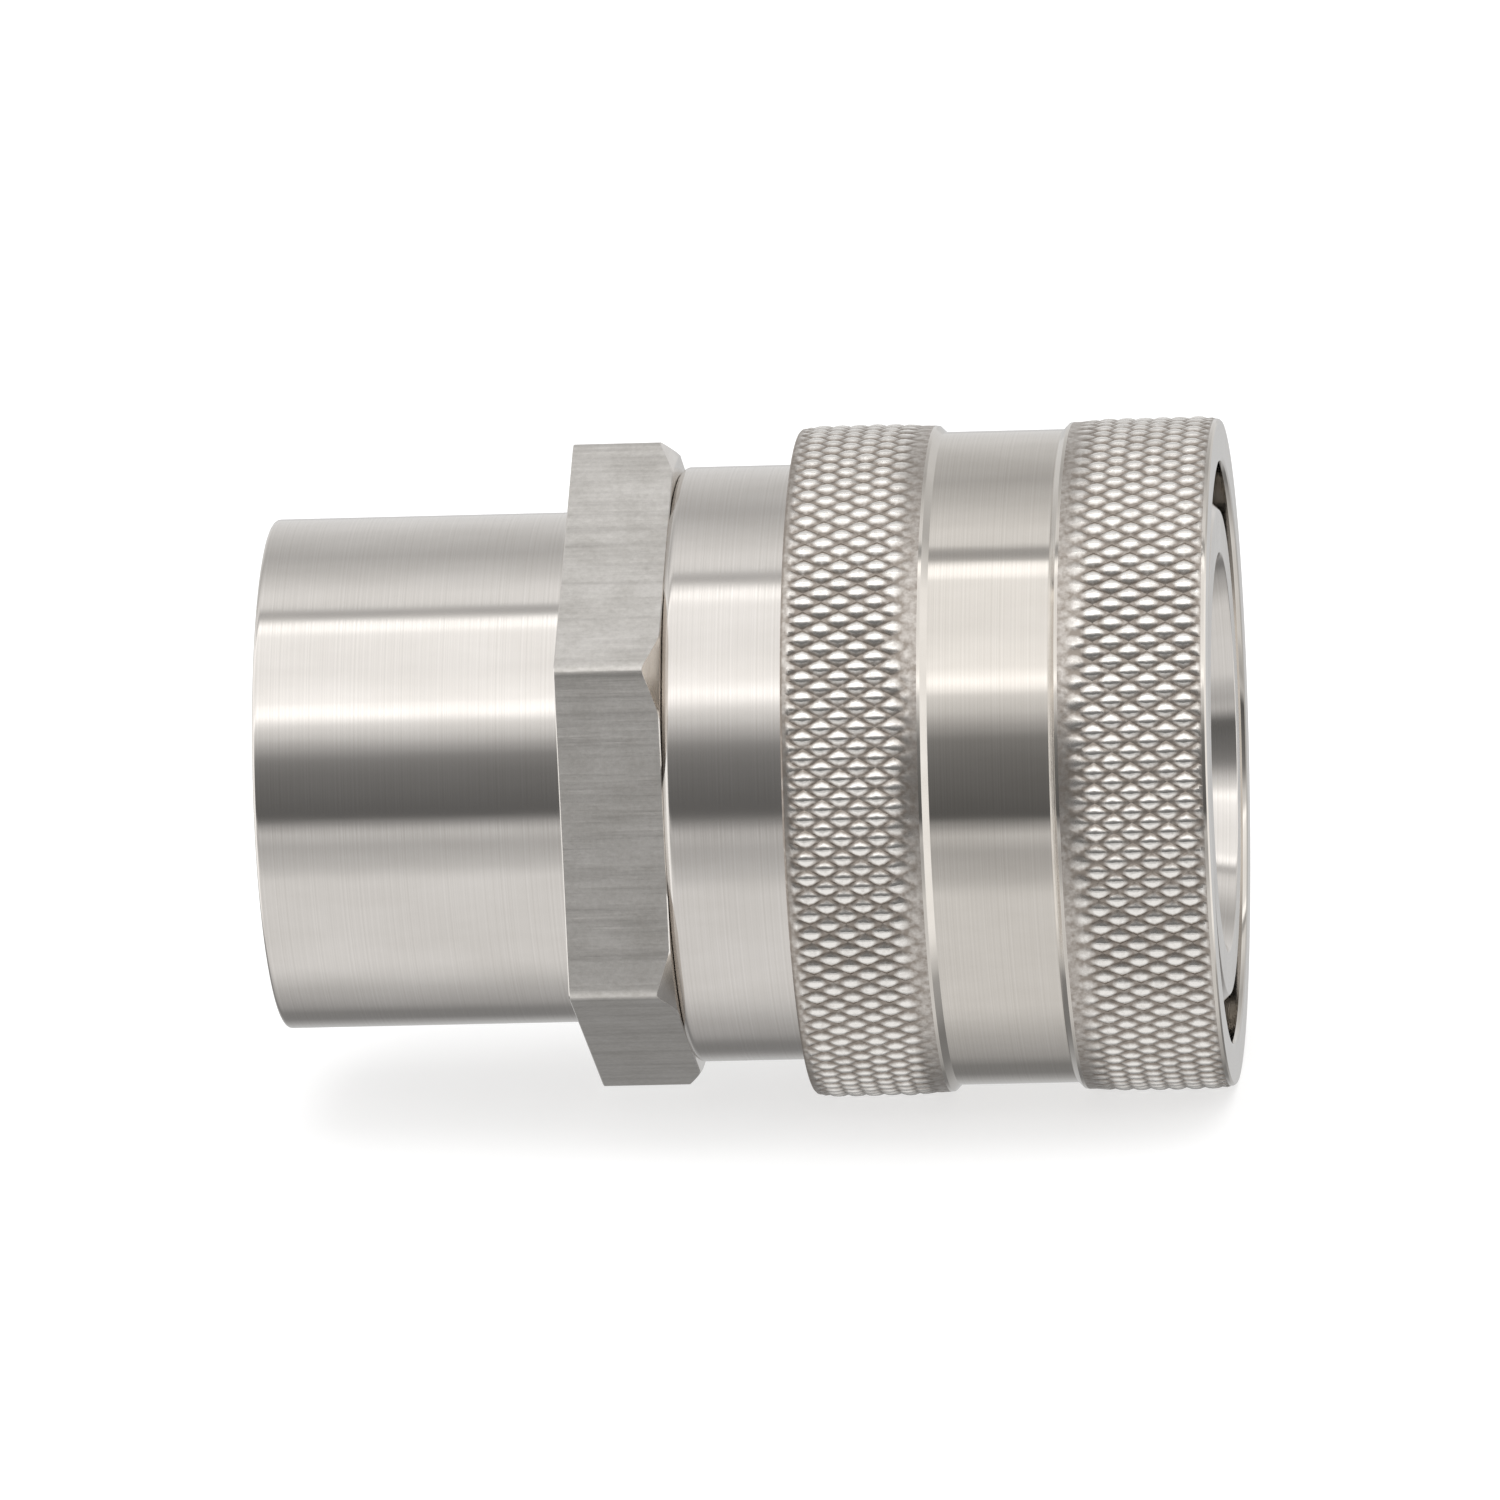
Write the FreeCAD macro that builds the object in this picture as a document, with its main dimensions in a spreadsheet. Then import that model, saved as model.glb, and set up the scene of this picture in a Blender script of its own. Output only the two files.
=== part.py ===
import FreeCAD, Part
import math
import os
import re

import Sketcher

# A quick disconnect coupler: the socket half, with a female pipe port at one end and a
# ball-locked plug mouth at the other. The origin is the centre of the port face, +X runs along
# the axis towards the mouth, and the hexagon stands on its corners along Z.

doc = FreeCAD.newDocument("coupler")

# ---------------------------------------------------------------- driving dimensions, mm
sheet = doc.addObject("Spreadsheet::Sheet", "Dims")

dimensions = {
    # rear adapter: port, hexagon and the spigot that screws into the socket body
    "port_radius": 13.3,
    "thread_minor_radius": 9.32,
    "thread_mouth_chamfer": 0.5,
    "thread_end": 14.0,
    "thread_relief_radius": 10.6,
    "thread_relief_end": 16.0,
    "edge_break": 0.3,
    "hex_start": 16.05,
    "hex_end": 21.4,
    "hex_sides": 6,
    "hex_half_flats": 15.0,
    "hex_cut_depth": 3.0,
    "hex_corner_radius": 17.32,
    "hex_chamfer_radius": 16.2,
    "hex_chamfer_length": 0.9,
    "web_radius": 7.6,
    "web_end": 18.0,
    "chamber_radius": 9.6,
    "spigot_radius": 12.4,
    "spigot_end": 27.4,
    "joint_groove_start": 25.0,
    "joint_groove_end": 26.8,
    "joint_groove_radius": 11.0,
    # socket body
    "spigot_bore_radius": 12.45,
    "body_radius": 15.5,
    "body_bevel": 0.3,
    "body_inner_shoulder": 27.6,
    "body_shoulder": 29.5,
    "nose_radius": 13.0,
    "nose_end": 49.3,
    "nose_chamfer": 0.4,
    "seat_mouth_radius": 8.8,
    "throat_start": 30.3,
    "throat_radius": 6.1,
    "plug_stop": 30.9,
    "plug_bore_radius": 10.0,
    "mouth_lead_radius": 10.4,
    "mouth_lead_length": 1.5,
    "seal_groove_start": 33.0,
    "seal_groove_end": 36.4,
    "seal_groove_radius": 11.6,
    "ring_groove_start": 46.45,
    "ring_groove_end": 47.5,
    "ring_groove_radius": 12.2,
    # locking balls and their row
    "ball_count": 12,
    "ball_radius": 2.0,
    "ball_row": 42.3,
    "ball_rest_radius": 10.95,
    "ball_hole_radius": 2.05,
    "ball_hole_seat": 10.7,
    "ball_hole_small_radius": 1.89,
    "ball_relief_radius": 10.2,
    "ball_relief_half_width": 2.3,
    # sleeve
    "sleeve_start": 27.7,
    "sleeve_end": 49.5,
    "sleeve_radius": 17.5,
    "sleeve_groove_radius": 17.0,
    "sleeve_groove_start": 35.2,
    "sleeve_groove_end": 41.4,
    "sleeve_bore_radius": 15.6,
    "land_start": 40.0,
    "land_end": 42.9,
    "land_radius": 13.15,
    "release_radius": 14.2,
    "stop_step": 46.42,
    "counterbore_radius": 15.1,
    # retaining ring in the nose
    "ring_inner_radius": 12.25,
    "ring_outer_radius": 14.75,
    "ring_start": 46.47,
    "ring_end": 47.45,
    "ring_angle": 335,
    # springs, each a round wire wound about the axis
    "sleeve_spring_wire": 0.7,
    "sleeve_spring_coil": 14.3,
    "sleeve_spring_turns": 3.75,
    "valve_spring_wire": 0.4,
    "valve_spring_coil": 3.6,
    "valve_spring_turns": 3.5,
    # valve guide, poppet and its seal
    "guide_radius": 9.5,
    "guide_plate_end": 19.8,
    "guide_hub_radius": 2.9,
    "guide_hub_end": 21.4,
    "guide_bore_radius": 2.06,
    "guide_port_radius": 1.5,
    "guide_port_circle": 6.2,
    "guide_ports": 8,
    "stem_radius": 2.0,
    "stem_start": 17.4,
    "poppet_start": 25.4,
    "poppet_radius": 7.6,
    "poppet_pocket_radius": 4.3,
    "poppet_pocket_end": 27.5,
    "poppet_axial_gap": 0.3536,
    "poppet_face": 30.2,
    "poppet_nose_radius": 3.0,
    "poppet_nose_end": 34.9,
    "poppet_nose_chamfer": 0.6,
    "valve_seal_axial": 28.86,
    "valve_seal_radial": 6.66,
    "valve_seal_cord": 0.6,
    "valve_seal_groove": 0.63,
    # rubber seals and the backup ring
    "plug_seal_axial": 34.15,
    "plug_seal_radial": 10.6,
    "plug_seal_cord": 0.9,
    "joint_seal_axial": 25.9,
    "joint_seal_radial": 11.73,
    "joint_seal_cord": 0.7,
    "backup_start": 35.25,
    "backup_end": 36.35,
    "backup_inner_radius": 10.05,
    "backup_outer_radius": 11.55,
}

for row, (alias, value) in enumerate(dimensions.items(), start=1):
    sheet.set("A%d" % row, alias)
    sheet.set("B%d" % row, str(value))
    sheet.setAlias("B%d" % row, alias)
doc.recompute()


# ---------------------------------------------------------------- helpers
def bound(text):
    """Turn the sheet's words in a formula into references to its cells."""
    return re.sub(r"[a-z][a-z_]*", lambda word: "Dims." + word.group(), text)


def origin_feature(body, role):
    """The plane or axis of a body's own origin that has this role."""
    return next(item for item in body.Origin.OriginFeatures if item.Role == role)


def new_body(name):
    body = doc.addObject("PartDesign::Body", name)
    body.Label = name
    return body


def new_sketch(body, name, plane):
    sketch = body.newObject("Sketcher::SketchObject", name)
    sketch.AttachmentSupport = [(origin_feature(body, plane), "")]
    sketch.MapMode = "FlatFace"
    return sketch


def bind(sketch, kind, line, end, formula):
    """Hold one end of a line at a distance from the sketch's origin, from the sheet."""
    index = sketch.addConstraint(Sketcher.Constraint(kind, line, end, 1.0 + line))
    sketch.setExpression("Constraints[%d]" % index, bound(formula))


def draw_outline(sketch, points):
    """Draw a closed outline of straight lines through (along, across) pairs of formulas.

    A coordinate written as "0" puts the point on the sketch's own axis. The lines start as a
    rough ring of their own, and the formulas then pull them to their places.
    """
    count = len(points)
    rough_centre, rough_radius = 25, 20
    for line in range(count):
        ends = []
        for corner in (line, line + 1):
            angle = 2 * math.pi * corner / count
            ends.append(FreeCAD.Vector(rough_centre + rough_radius * math.cos(angle),
                                       rough_centre + rough_radius * math.sin(angle), 0))
        sketch.addGeometry(Part.LineSegment(*ends), False)
    for line, (along, across) in enumerate(points):
        follower = (line + 1) % count
        sketch.addConstraint(Sketcher.Constraint("Coincident", line, 2, follower, 1))
        for formula, kind, axis in ((along, "DistanceX", -2), (across, "DistanceY", -1)):
            if formula == "0":
                sketch.addConstraint(Sketcher.Constraint("PointOnObject", line, 1, axis))
            else:
                bind(sketch, kind, line, 1, formula)


def draw_circle(sketch, along, across, radius):
    """Draw a circle whose centre and radius are formulas of the sheet."""
    sketch.addGeometry(Part.Circle(FreeCAD.Vector(1, 1, 0), FreeCAD.Vector(0, 0, 1), 1), False)
    size = sketch.addConstraint(Sketcher.Constraint("Radius", 0, 1.0))
    sketch.setExpression("Constraints[%d]" % size, bound(radius))
    for formula, kind, axis in ((along, "DistanceX", -2), (across, "DistanceY", -1)):
        if formula == "0":
            sketch.addConstraint(Sketcher.Constraint("PointOnObject", 0, 3, axis))
        else:
            index = sketch.addConstraint(Sketcher.Constraint(kind, 0, 3, 1.0))
            sketch.setExpression("Constraints[%d]" % index, bound(formula))


def turn(body, points, angle=None):
    """Revolve an outline of (along the axis, radius) formulas about the X axis."""
    sketch = new_sketch(body, body.Name + "_profile", "XY_Plane")
    draw_outline(sketch, points)
    feature = body.newObject("PartDesign::Revolution", body.Name + "_turned")
    feature.Profile = sketch
    feature.ReferenceAxis = (sketch, ["H_Axis"])
    feature.Angle = 360
    if angle:
        feature.setExpression("Angle", bound(angle))
    doc.recompute()
    return feature


def repeat_round(body, feature, count):
    """Repeat a cut evenly round the X axis; the count is a formula of the sheet."""
    pattern = body.newObject("PartDesign::PolarPattern", feature.Name + "_pattern")
    pattern.Originals = [feature]
    pattern.Axis = (origin_feature(body, "X_Axis"), [""])
    pattern.Angle = 360
    pattern.setExpression("Occurrences", bound(count))
    body.Tip = pattern
    doc.recompute()


def cut_along_axis(body, sketch, start, depth):
    """Pocket a sketch of the YZ plane from one station on the axis to another."""
    sketch.setExpression("AttachmentOffset.Base.z", bound(start))
    before = body.Shape.Volume
    pocket = body.newObject("PartDesign::Pocket", sketch.Name + "_pocket")
    pocket.Profile = sketch
    pocket.Reversed = True
    pocket.setExpression("Length", bound(depth))
    doc.recompute()
    if body.Shape.Volume >= before:
        raise RuntimeError(pocket.Name + " removes nothing")
    return pocket


def ring_of_cord(name, axial, radial, cord):
    """An O-ring: a torus about the X axis from three words of the sheet."""
    ring = doc.addObject("Part::Torus", name)
    ring.Label = name
    ring.Placement = FreeCAD.Placement(FreeCAD.Vector(), FreeCAD.Rotation(FreeCAD.Vector(0, 1, 0), 90))
    ring.setExpression("Placement.Base.x", bound(axial))
    ring.setExpression("Radius1", bound(radial))
    ring.setExpression("Radius2", bound(cord))
    return ring


def wind_spring(name, start, end, coil, wire, turns):
    """A round wire wound about the X axis, from one station to the other."""
    body = new_body(name)
    sketch = new_sketch(body, name + "_wire", "XY_Plane")
    draw_circle(sketch, "%s + %s" % (start, wire), coil, wire)
    helix = body.newObject("PartDesign::AdditiveHelix", name + "_winding")
    helix.Profile = sketch
    helix.ReferenceAxis = (sketch, ["H_Axis"])
    helix.Mode = "height-turns-angle"
    helix.setExpression("Height", bound("%s - %s - 2 * %s" % (end, start, wire)))
    helix.setExpression("Turns", bound(turns))
    doc.recompute()
    return body


# ---------------------------------------------------------------- the pieces
def make_port_adapter():
    """The rear piece: threaded port, wrench hexagon and the spigot into the body."""
    body = new_body("port_adapter")
    turn(body, [
        ("0", "thread_minor_radius + thread_mouth_chamfer"),
        ("0", "port_radius - edge_break"),
        ("edge_break", "port_radius"),
        ("hex_start", "port_radius"),
        ("hex_start", "hex_corner_radius"),
        ("hex_end - hex_chamfer_length", "hex_corner_radius"),
        ("hex_end", "hex_chamfer_radius"),
        ("hex_end", "spigot_radius"),
        ("joint_groove_start", "spigot_radius"),
        ("joint_groove_start", "joint_groove_radius"),
        ("joint_groove_end", "joint_groove_radius"),
        ("joint_groove_end", "spigot_radius"),
        ("spigot_end - edge_break", "spigot_radius"),
        ("spigot_end", "spigot_radius - edge_break"),
        ("spigot_end", "chamber_radius"),
        ("web_end", "chamber_radius"),
        ("web_end", "web_radius"),
        ("thread_relief_end", "web_radius"),
        ("thread_relief_end", "thread_relief_radius"),
        ("thread_end", "thread_relief_radius"),
        ("thread_end", "thread_minor_radius"),
        ("thread_mouth_chamfer", "thread_minor_radius"),
    ])
    # one wrench flat facing +Y, repeated to make the hexagon with its corners along Z
    flat = new_sketch(body, "wrench_flat", "YZ_Plane")
    draw_outline(flat, [
        ("hex_half_flats", "0 - hex_half_flats"),
        ("hex_half_flats + hex_cut_depth", "0 - hex_half_flats"),
        ("hex_half_flats + hex_cut_depth", "hex_half_flats"),
        ("hex_half_flats", "hex_half_flats"),
    ])
    pocket = cut_along_axis(body, flat, "hex_start", "hex_end - hex_start")
    repeat_round(body, pocket, "hex_sides")
    return body


def make_socket_body():
    """The front body: plug bore, valve seat, seal groove, ball holes and nose."""
    body = new_body("socket_body")
    turn(body, [
        ("hex_end", "spigot_bore_radius"),
        ("hex_end", "body_radius - body_bevel"),
        ("hex_end + body_bevel", "body_radius"),
        ("body_shoulder", "body_radius"),
        ("body_shoulder", "nose_radius"),
        ("ring_groove_start", "nose_radius"),
        ("ring_groove_start", "ring_groove_radius"),
        ("ring_groove_end", "ring_groove_radius"),
        ("ring_groove_end", "nose_radius"),
        ("nose_end - nose_chamfer", "nose_radius"),
        ("nose_end", "nose_radius - nose_chamfer"),
        ("nose_end", "mouth_lead_radius"),
        ("nose_end - mouth_lead_length", "plug_bore_radius"),
        ("ball_row + ball_relief_half_width", "plug_bore_radius"),
        ("ball_row + ball_relief_half_width", "ball_relief_radius"),
        ("ball_row - ball_relief_half_width", "ball_relief_radius"),
        ("ball_row - ball_relief_half_width", "plug_bore_radius"),
        ("seal_groove_end", "plug_bore_radius"),
        ("seal_groove_end", "seal_groove_radius"),
        ("seal_groove_start", "seal_groove_radius"),
        ("seal_groove_start", "plug_bore_radius"),
        ("plug_stop", "plug_bore_radius"),
        ("plug_stop", "throat_radius"),
        ("throat_start", "throat_radius"),
        ("body_inner_shoulder", "seat_mouth_radius"),
        ("body_inner_shoulder", "spigot_bore_radius"),
    ])
    # one ball hole: straight from outside, narrowing at the bore so that the ball stays in
    hole = new_sketch(body, "ball_hole", "XY_Plane")
    draw_outline(hole, [
        ("0", "ball_relief_radius - edge_break"),
        ("ball_hole_small_radius", "ball_relief_radius - edge_break"),
        ("ball_hole_small_radius", "ball_relief_radius"),
        ("ball_hole_radius", "ball_hole_seat"),
        ("ball_hole_radius", "nose_radius + edge_break"),
        ("0", "nose_radius + edge_break"),
    ])
    hole.setExpression("AttachmentOffset.Base.x", bound("ball_row"))
    before = body.Shape.Volume
    groove = body.newObject("PartDesign::Groove", "ball_hole_cut")
    groove.Profile = hole
    groove.ReferenceAxis = (hole, ["V_Axis"])
    groove.Angle = 360
    doc.recompute()
    if body.Shape.Volume >= before:
        raise RuntimeError("ball_hole_cut removes nothing")
    repeat_round(body, groove, "ball_count")
    return body


def make_sleeve():
    """The sliding sleeve: two grip bands, rear bore, ball land and release pocket."""
    body = new_body("sleeve")
    turn(body, [
        ("sleeve_start", "sleeve_bore_radius"),
        ("sleeve_start", "sleeve_radius - edge_break"),
        ("sleeve_start + edge_break", "sleeve_radius"),
        ("sleeve_groove_start - (sleeve_radius - sleeve_groove_radius)", "sleeve_radius"),
        ("sleeve_groove_start", "sleeve_groove_radius"),
        ("sleeve_groove_end", "sleeve_groove_radius"),
        ("sleeve_groove_end + (sleeve_radius - sleeve_groove_radius)", "sleeve_radius"),
        ("sleeve_end - edge_break", "sleeve_radius"),
        ("sleeve_end", "sleeve_radius - edge_break"),
        ("sleeve_end", "counterbore_radius + edge_break"),
        ("sleeve_end - edge_break", "counterbore_radius"),
        ("stop_step", "counterbore_radius"),
        ("stop_step", "release_radius"),
        ("land_end + (release_radius - land_radius)", "release_radius"),
        ("land_end", "land_radius"),
        ("land_start", "land_radius"),
        ("land_start", "sleeve_bore_radius"),
    ])
    return body


def make_retaining_ring():
    """The open flat ring in the nose that the sleeve's inner step rests against."""
    body = new_body("retaining_ring")
    turn(body, [
        ("ring_start", "ring_inner_radius"),
        ("ring_start", "ring_outer_radius"),
        ("ring_end", "ring_outer_radius"),
        ("ring_end", "ring_inner_radius"),
    ], angle="ring_angle")
    return body


def make_backup_ring():
    """The plain ring beside the plug seal, on its low pressure side."""
    body = new_body("backup_ring")
    turn(body, [
        ("backup_start", "backup_inner_radius"),
        ("backup_start", "backup_outer_radius"),
        ("backup_end", "backup_outer_radius"),
        ("backup_end", "backup_inner_radius"),
    ])
    return body


def make_valve_guide():
    """The perforated plate and hub that carry the valve's stem."""
    body = new_body("valve_guide")
    turn(body, [
        ("web_end", "guide_bore_radius"),
        ("web_end", "guide_radius"),
        ("guide_plate_end", "guide_radius"),
        ("guide_plate_end", "guide_hub_radius"),
        ("guide_hub_end", "guide_hub_radius"),
        ("guide_hub_end", "guide_bore_radius"),
    ])
    port = new_sketch(body, "flow_port", "YZ_Plane")
    draw_circle(port, "guide_port_circle", "0", "guide_port_radius")
    pocket = cut_along_axis(body, port, "web_end", "guide_plate_end - web_end")
    repeat_round(body, pocket, "guide_ports")
    return body


def make_valve_poppet():
    """The valve: stem, hollow head with a sealing cone, and the nose a plug pushes."""
    body = new_body("valve_poppet")
    cone = "seat_mouth_radius + body_inner_shoulder - poppet_axial_gap"
    turn(body, [
        ("stem_start", "0"),
        ("stem_start", "stem_radius - edge_break"),
        ("stem_start + edge_break", "stem_radius"),
        ("poppet_pocket_end", "stem_radius"),
        ("poppet_pocket_end", "poppet_pocket_radius"),
        ("poppet_start", "poppet_pocket_radius"),
        ("poppet_start", "poppet_radius - edge_break"),
        ("poppet_start + edge_break", "poppet_radius"),
        (cone + " - poppet_radius", "poppet_radius"),
        ("poppet_face", cone + " - poppet_face"),
        ("poppet_face", "poppet_nose_radius"),
        ("poppet_nose_end - poppet_nose_chamfer", "poppet_nose_radius"),
        ("poppet_nose_end", "poppet_nose_radius - poppet_nose_chamfer"),
        ("poppet_nose_end", "0"),
    ])
    # the round groove in the cone that holds the valve seal
    ring = new_sketch(body, "seal_groove", "XY_Plane")
    draw_circle(ring, "valve_seal_axial", "valve_seal_radial", "valve_seal_groove")
    before = body.Shape.Volume
    groove = body.newObject("PartDesign::Groove", "seal_groove_cut")
    groove.Profile = ring
    groove.ReferenceAxis = (ring, ["H_Axis"])
    groove.Angle = 360
    doc.recompute()
    if body.Shape.Volume >= before:
        raise RuntimeError("seal_groove_cut removes nothing")
    return body


def make_ball(number):
    """One locking ball, at rest on the narrow end of its hole."""
    ball = doc.addObject("Part::Sphere", "ball_%d" % number)
    ball.Label = ball.Name
    ball.setExpression("Radius", bound("ball_radius"))
    turned = "(%d * 360 deg / Dims.ball_count)" % (number - 1)
    ball.setExpression("Placement.Base.x", bound("ball_row"))
    ball.setExpression("Placement.Base.y", "Dims.ball_rest_radius * cos%s" % turned)
    ball.setExpression("Placement.Base.z", "Dims.ball_rest_radius * sin%s" % turned)
    return ball


pieces = [
    make_port_adapter(),
    make_socket_body(),
    make_sleeve(),
    make_retaining_ring(),
    make_backup_ring(),
    make_valve_guide(),
    make_valve_poppet(),
    ring_of_cord("valve_seal", "valve_seal_axial", "valve_seal_radial", "valve_seal_cord"),
    ring_of_cord("plug_seal", "plug_seal_axial", "plug_seal_radial", "plug_seal_cord"),
    ring_of_cord("joint_seal", "joint_seal_axial", "joint_seal_radial", "joint_seal_cord"),
    wind_spring("sleeve_spring", "body_shoulder", "land_start",
                "sleeve_spring_coil", "sleeve_spring_wire", "sleeve_spring_turns"),
    wind_spring("valve_spring", "guide_plate_end", "poppet_pocket_end",
                "valve_spring_coil", "valve_spring_wire", "valve_spring_turns"),
]
pieces += [make_ball(number) for number in range(1, int(dimensions["ball_count"]) + 1)]
doc.recompute()

# ---------------------------------------------------------------- test, then write
for item in doc.Objects:
    if "Invalid" in item.State or "Error" in item.State:
        raise RuntimeError("%s failed: %s" % (item.Label, item.State))

os.makedirs("parts", exist_ok=True)
for piece in pieces:
    shape = piece.Shape
    if shape.isNull() or not shape.isValid():
        raise RuntimeError(piece.Label + " has no valid shape")
    box = shape.BoundBox
    print("%-16s %9.1f mm3  x %6.2f to %6.2f  r %5.2f  solids %d" % (
        piece.Label, shape.Volume, box.XMin, box.XMax, box.ZMax, len(shape.Solids)))
    shape.exportStep("parts/%s.step" % piece.Label)
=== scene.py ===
import math
import bpy
import numpy as np
from mathutils import Matrix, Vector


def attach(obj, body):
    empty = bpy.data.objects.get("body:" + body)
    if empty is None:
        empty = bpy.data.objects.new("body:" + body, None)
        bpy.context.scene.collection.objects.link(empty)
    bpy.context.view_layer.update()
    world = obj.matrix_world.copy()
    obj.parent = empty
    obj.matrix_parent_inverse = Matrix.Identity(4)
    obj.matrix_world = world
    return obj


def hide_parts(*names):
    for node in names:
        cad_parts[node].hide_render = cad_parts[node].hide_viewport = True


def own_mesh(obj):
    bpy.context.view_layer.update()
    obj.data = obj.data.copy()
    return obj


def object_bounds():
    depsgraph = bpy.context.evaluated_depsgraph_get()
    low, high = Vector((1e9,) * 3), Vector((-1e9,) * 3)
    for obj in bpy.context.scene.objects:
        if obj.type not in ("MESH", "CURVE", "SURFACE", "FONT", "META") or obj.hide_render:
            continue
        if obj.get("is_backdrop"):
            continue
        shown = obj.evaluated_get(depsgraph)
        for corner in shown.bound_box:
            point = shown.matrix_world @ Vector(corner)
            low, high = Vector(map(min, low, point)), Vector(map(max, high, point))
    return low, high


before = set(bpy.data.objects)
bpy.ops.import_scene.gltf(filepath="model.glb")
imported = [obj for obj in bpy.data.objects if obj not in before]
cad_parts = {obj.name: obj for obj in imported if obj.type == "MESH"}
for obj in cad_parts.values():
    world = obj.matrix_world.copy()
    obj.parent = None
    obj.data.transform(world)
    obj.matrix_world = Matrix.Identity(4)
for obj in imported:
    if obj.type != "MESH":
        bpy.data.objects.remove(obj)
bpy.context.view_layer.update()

mm = 0.001
fullTurn = 2 * math.pi
print("frame loaded:", len(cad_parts), "nodes")


# ---- shapes: every piece is a profile in (x, r), in mm, turned about the X axis

def roundedPath(corners, closed=True, steps=4, support=0.05):
    # A path through corners (x, r, radius). Each corner becomes an arc whose tangent length is
    # the radius times the tangent of half the turn, and a point just outside each end of the arc
    # keeps the shading of the straight runs flat. Those points stand off by the support, or by a
    # share of the run where it is short.
    points = np.array([corner[:2] for corner in corners], float)
    count, straight, sharpShare, roundShare = len(points), 1e-3, 0.3, 0.4
    path = []
    for number, here in enumerate(points):
        radius = corners[number][2]
        before, after = points[number - 1], points[(number + 1) % count]
        if not closed and number in (0, count - 1):
            path.append(here[None])
            continue
        into, outOf = here - before, after - here
        lengthIn, lengthOut = np.linalg.norm(into), np.linalg.norm(outOf)
        into, outOf = into / lengthIn, outOf / lengthOut
        cross = into[0] * outOf[1] - into[1] * outOf[0]
        turn = math.atan2(cross, float(into @ outOf))
        if radius <= 0 or abs(turn) < straight:
            path.append(np.array([here - into * min(support, sharpShare * lengthIn), here,
                                  here + outOf * min(support, sharpShare * lengthOut)]))
            continue
        tangent = radius * math.tan(abs(turn) / 2)
        start = here - into * tangent
        side = np.array([-into[1], into[0]]) * math.copysign(1, turn)
        centre = start + side * radius
        angles = np.linspace(0, turn, steps + 1)[:, None]
        arm = start - centre
        arc = centre + np.cos(angles) * arm + np.sin(angles) * np.array([-arm[1], arm[0]])
        early = start - into * min(support, roundShare * max(lengthIn - tangent, 0.01))
        late = arc[-1] + outOf * min(support, roundShare * max(lengthOut - tangent, 0.01))
        path.append(np.vstack([early[None], arc, late[None]]))
    path = np.vstack(path)
    return path[:, 0], path[:, 1]


def wheel(count):
    # evenly spaced angles round the axis
    return np.arange(count) * fullTurn / count


def turnedPoints(x, r, angles):
    # point = (x, r cos angle, r sin angle); x and r may change with the angle
    x = np.broadcast_to(np.atleast_2d(x.T).T, (len(x), len(angles)))
    r = np.broadcast_to(np.atleast_2d(r.T).T, (len(r), len(angles)))
    return np.stack([x, r * np.cos(angles), r * np.sin(angles)], axis=-1)


def rowsOf(values, columns):
    # a profile's values repeated for every angle
    return np.broadcast_to(values[:, None], (len(values), columns))


def gridFaces(rows, columns, closeRows, closeColumns):
    # one quad for each cell of a grid of points, facing outwards when the profile runs towards
    # +X on its outside and the angle grows from +Y to +Z
    lastRow = rows if closeRows else rows - 1
    lastColumn = columns if closeColumns else columns - 1
    i, j = np.meshgrid(np.arange(lastRow), np.arange(lastColumn), indexing="ij")
    nextI, nextJ = (i + 1) % rows, (j + 1) % columns
    quads = np.stack([i * columns + j, i * columns + nextJ, nextI * columns + nextJ,
                      nextI * columns + j], axis=-1)
    return quads.reshape(-1, 4)


def poleFaces(rows, columns):
    # a grid closed round its columns, with two more points after it: a pole that closes the first
    # row and one that closes the last
    j = np.arange(columns)
    following, end = (j + 1) % columns, (rows - 1) * columns
    firstPole = np.full(columns, rows * columns)
    return [gridFaces(rows, columns, False, True), np.stack([firstPole, following, j], axis=-1),
            np.stack([firstPole + 1, end + j, end + following], axis=-1)]


def makeMesh(name, points, faceSets, finishes=None, sharpAngle=28):
    # a mesh from points in mm and arrays of faces, each array with its own number of corners
    mesh = bpy.data.meshes.new(name)
    points = np.ascontiguousarray(points.reshape(-1, 3) * mm, dtype=np.float32)
    mesh.vertices.add(len(points))
    mesh.vertices.foreach_set("co", points.ravel())
    loops = np.concatenate([faces.ravel() for faces in faceSets]).astype(np.int32)
    sizes = np.concatenate([np.full(len(faces), faces.shape[1]) for faces in faceSets])
    starts = np.concatenate([[0], np.cumsum(sizes)[:-1]]).astype(np.int32)
    mesh.loops.add(len(loops))
    mesh.loops.foreach_set("vertex_index", loops)
    mesh.polygons.add(len(sizes))
    mesh.polygons.foreach_set("loop_start", starts)
    if finishes is not None:
        mesh.polygons.foreach_set("material_index", np.asarray(finishes, np.int32))
    mesh.update(calc_edges=True)
    mesh.validate()
    shadeMesh(mesh, sharpAngle)
    return mesh


def shadeMesh(mesh, sharpAngle=28):
    # smooth, but creased where two faces turn by more than the angle
    mesh.polygons.foreach_set("use_smooth", np.ones(len(mesh.polygons), bool))
    mesh.set_sharp_from_angle(angle=math.radians(sharpAngle))


def stackSections(sections):
    # sections of (x, r, finish) one after another, as one grid with a finish for each row
    return (np.vstack([section[0] for section in sections]),
            np.vstack([section[1] for section in sections]),
            np.concatenate([np.full(len(section[0]), section[2]) for section in sections]))


def placePiece(name, mesh, materials, body, nodes):
    # put a mesh in the scene as a finished piece that stands for CAD nodes
    piece = bpy.data.objects.new(name, mesh)
    bpy.context.scene.collection.objects.link(piece)
    for material in materials:
        piece.data.materials.append(material)
    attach(piece, body)
    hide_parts(*nodes)
    return piece


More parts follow.
